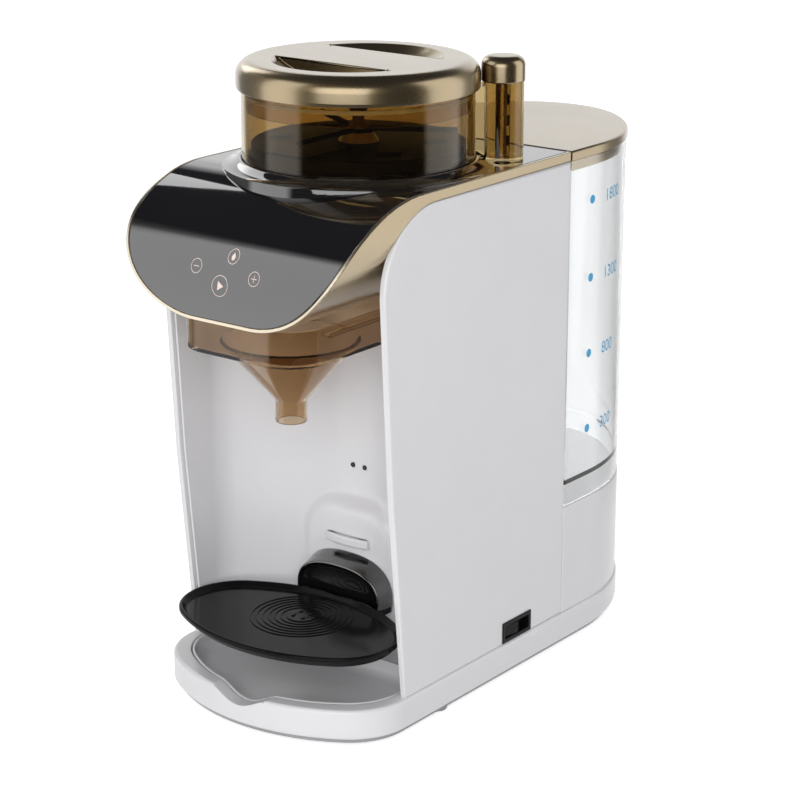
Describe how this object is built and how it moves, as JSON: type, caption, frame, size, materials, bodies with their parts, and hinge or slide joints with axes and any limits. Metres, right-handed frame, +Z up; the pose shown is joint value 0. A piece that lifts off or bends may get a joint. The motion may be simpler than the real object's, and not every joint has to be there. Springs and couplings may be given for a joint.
{
  "type": "baby formula maker",
  "caption": "Countertop baby formula maker: lidded powder container with dosing wheel, mixing funnel over a bottle table and drip tray, lift-out rear water tank.",
  "frame": {"origin": "middle of the footprint's box, on the surface that the feet stand on", "axes": "+Z up, -Y towards the bottle bay, +X towards the side with the power switch"},
  "size_m": [0.166, 0.3532, 0.3786],
  "materials": {
    "white_abs": "glossy moulded white plastic",
    "champagne_gold": "satin champagne gold metallic coat on plastic",
    "black_gloss": "polished black fascia",
    "black_satin": "satin black plastic",
    "amber_clear": "smoky amber transparent plastic",
    "tank_clear": "clear transparent plastic",
    "rubber_grey": "soft moulded rubber",
    "silicone_white": "translucent white silicone",
    "inner_plastic": "plain unpainted plastic",
    "steel": "plated steel",
    "board_green": "coated circuit board",
    "lens_dark": "dark polished lens"
  },
  "bodies": {
    "body": {"base_shell": "white_abs", "bottom_plate": "inner_plastic", "cover_screws": "steel", "rubber_feet": "rubber_grey", "left_side_panel": "white_abs", "right_side_panel": "white_abs", "switch_bezel": "black_satin", "head_band": "champagne_gold", "control_panel": "black_gloss", "container_collar": "black_gloss", "touch_board": "board_green", "bay_liner": "white_abs", "sensor_lenses": "lens_dark", "sensor_board": "board_green", "lower_table_hook": "white_abs", "table_hook": "white_abs", "funnel_rails": "white_abs", "powder_chute": "white_abs", "water_nozzle": "inner_plastic", "rear_housing": "white_abs", "tank_socket": "inner_plastic", "power_inlet": "black_satin", "spine_frame": "inner_plastic", "water_pump": "inner_plastic", "heater_tank": "steel", "thermostat": "steel", "tank_hose": "silicone_white", "riser_hose": "silicone_white", "spout_hose": "silicone_white", "drive_motor": "steel", "motor_bracket": "inner_plastic", "motor_screws": "steel", "main_board": "board_green", "power_board": "board_green"},
    "table": {"bottle_table": "black_satin", "table_bracket": "black_satin", "table_screws": "black_satin"},
    "tray": {"drip_tray": "white_abs"},
    "funnel": {"mixing_funnel": "amber_clear"},
    "container": {"powder_container": "amber_clear", "container_floor": "black_satin", "tower_cap": "champagne_gold", "tower_post": "champagne_gold", "scraper_plate": "black_satin"},
    "wheel": {"powder_wheel": "black_satin", "stir_post": "amber_clear", "stirring_blades": "black_satin"},
    "plug": {"lid_plug": "amber_clear", "lid_seal": "silicone_white"},
    "lid": {"container_lid": "champagne_gold"},
    "tank": {"water_tank": "tank_clear", "spring_bridge": "inner_plastic"},
    "tank_cover": {"tank_lid": "champagne_gold"},
    "valve": {"tank_valve": "inner_plastic", "valve_seal": "silicone_white", "valve_spring": "steel"},
    "rocker": {"switch_rocker": "black_satin"},
    "drive": {"drive_shaft": "inner_plastic"}
  },
  "joints": [
    {"name": "container_lift", "type": "slide", "parent": "body", "child": "container", "axis": [0, 0, 1], "range_m": [0, 0.06]},
    {"name": "wheel_turn", "type": "hinge", "parent": "container", "child": "wheel", "pos_m": [0, -0.054, 0.325], "axis": [0, 0, 1], "continuous": true},
    {"name": "drive_turn", "type": "hinge", "parent": "body", "child": "drive", "pos_m": [0, -0.054, 0.31], "axis": [0, 0, 1], "continuous": true},
    {"name": "lid_lift", "type": "slide", "parent": "container", "child": "plug", "axis": [0, 0, 1], "range_m": [0, 0.05]},
    {"name": "lid_twist", "type": "hinge", "parent": "plug", "child": "lid", "pos_m": [0, -0.054, 0.365], "axis": [0, 0, 1], "range_deg": [0, 30]},
    {"name": "tank_lift", "type": "slide", "parent": "body", "child": "tank", "axis": [0, 0, 1], "range_m": [0, 0.12]},
    {"name": "tank_lid_lift", "type": "slide", "parent": "tank", "child": "tank_cover", "axis": [0, 0, 1], "range_m": [0, 0.04]},
    {"name": "valve_press", "type": "slide", "parent": "tank", "child": "valve", "axis": [0, 0, 1], "range_m": [0, 0.003], "stiffness_N_per_m": 300, "springref_m": -0.002, "deforming": ["valve_spring"]},
    {"name": "funnel_slide", "type": "slide", "parent": "body", "child": "funnel", "axis": [0, -1, 0], "range_m": [0, 0.11]},
    {"name": "table_pull", "type": "slide", "parent": "body", "child": "table", "axis": [0, -1, 0], "range_m": [0, 0.06]},
    {"name": "tray_lift", "type": "slide", "parent": "body", "child": "tray", "axis": [0, 0, 1], "range_m": [0, 0.018]},
    {"name": "switch_rock", "type": "hinge", "parent": "body", "child": "rocker", "pos_m": [0.0765, -0.0051, 0.031], "axis": [0, 0, 1], "range_deg": [-18, 0]}
  ],
  "couplings": [
    {"joint": "drive_turn", "follows": "wheel_turn", "ratio": 1}
  ]
}
